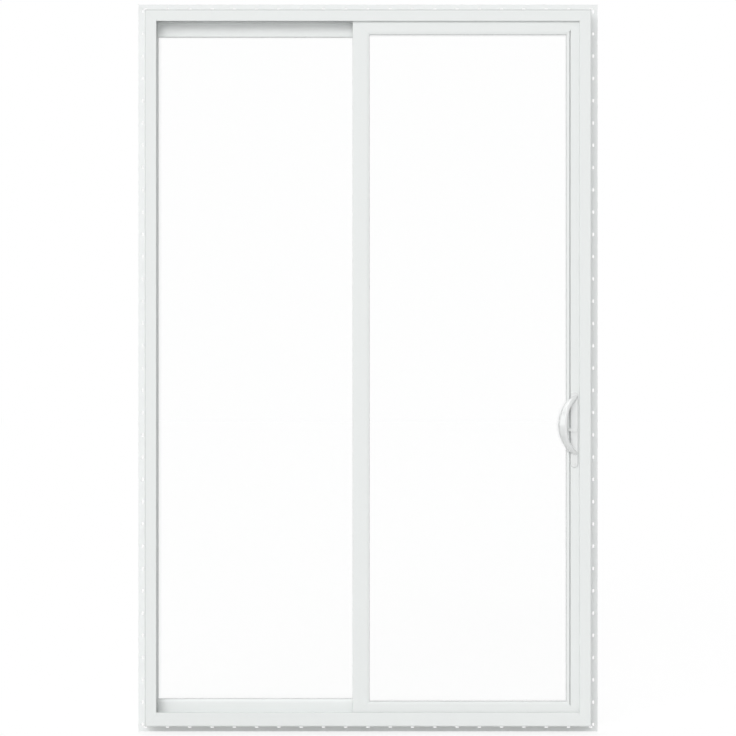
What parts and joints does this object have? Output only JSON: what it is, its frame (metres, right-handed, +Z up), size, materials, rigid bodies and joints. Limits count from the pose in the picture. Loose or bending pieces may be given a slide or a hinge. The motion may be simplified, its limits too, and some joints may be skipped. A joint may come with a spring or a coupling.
{
  "type": "sliding patio door",
  "caption": "White vinyl sliding patio door with a nail-finned frame, a fixed glass panel and a rolling glass panel with a bowed pull handle and a thumb latch.",
  "frame": {"origin": "wall face of the nail fins, at the middle of the sill's underside", "axes": "+X to the right as seen from the room, +Y outwards through the door, +Z up"},
  "size_m": [1.571, 0.1656, 2.486],
  "materials": {
    "white_vinyl": "satin",
    "fin_vinyl": "matte",
    "clear_glass": "polished",
    "spacer_aluminium": "satin",
    "track_aluminium": "satin",
    "plated_steel": "satin",
    "wheel_nylon": "matte",
    "white_handle": "gloss"
  },
  "bodies": {
    "frame": {"frame_head": "white_vinyl", "frame_sill": "white_vinyl", "frame_jamb_left": "white_vinyl", "frame_jamb_right": "white_vinyl", "nail_fin_left": "fin_vinyl", "nail_fin_top": "fin_vinyl", "nail_fin_right": "fin_vinyl", "nail_fin_bottom": "fin_vinyl", "roller_track": "track_aluminium", "head_guide": "track_aluminium", "strike_keeper": "plated_steel", "fixed_top_rail": "white_vinyl", "fixed_bottom_rail": "white_vinyl", "fixed_meeting_stile": "white_vinyl", "fixed_jamb_stile": "white_vinyl", "fixed_bead_top": "white_vinyl", "fixed_bead_bottom": "white_vinyl", "fixed_bead_meeting": "white_vinyl", "fixed_pane_inner": "clear_glass", "fixed_pane_outer": "clear_glass", "fixed_spacer": "spacer_aluminium", "fixed_interlock": "white_vinyl"},
    "sliding_panel": {"sliding_top_rail": "white_vinyl", "sliding_bottom_rail": "white_vinyl", "sliding_meeting_stile": "white_vinyl", "sliding_lock_stile": "white_vinyl", "sliding_bead_top": "white_vinyl", "sliding_bead_bottom": "white_vinyl", "sliding_bead_meeting": "white_vinyl", "sliding_bead_lock": "white_vinyl", "sliding_pane_inner": "clear_glass", "sliding_pane_outer": "clear_glass", "sliding_spacer": "spacer_aluminium", "sliding_interlock": "white_vinyl", "roller_housings": "plated_steel", "roller_wheels": "wheel_nylon", "lock_faceplate": "plated_steel", "handle_plate": "white_handle", "handle_grip": "white_handle", "outer_pull_plate": "white_handle", "outer_pull_grip": "white_handle"},
    "thumb_latch": {"thumb_latch": "white_handle"}
  },
  "joints": [
    {"name": "panel_slide", "type": "slide", "parent": "frame", "child": "sliding_panel", "axis": [-1, 0, 0], "range_m": [0, 0.635]},
    {"name": "latch_turn", "type": "hinge", "parent": "sliding_panel", "child": "thumb_latch", "pos_m": [0.698, -0.0773, 1.004], "axis": [0, 1, 0], "range_deg": [-40, 40]}
  ]
}
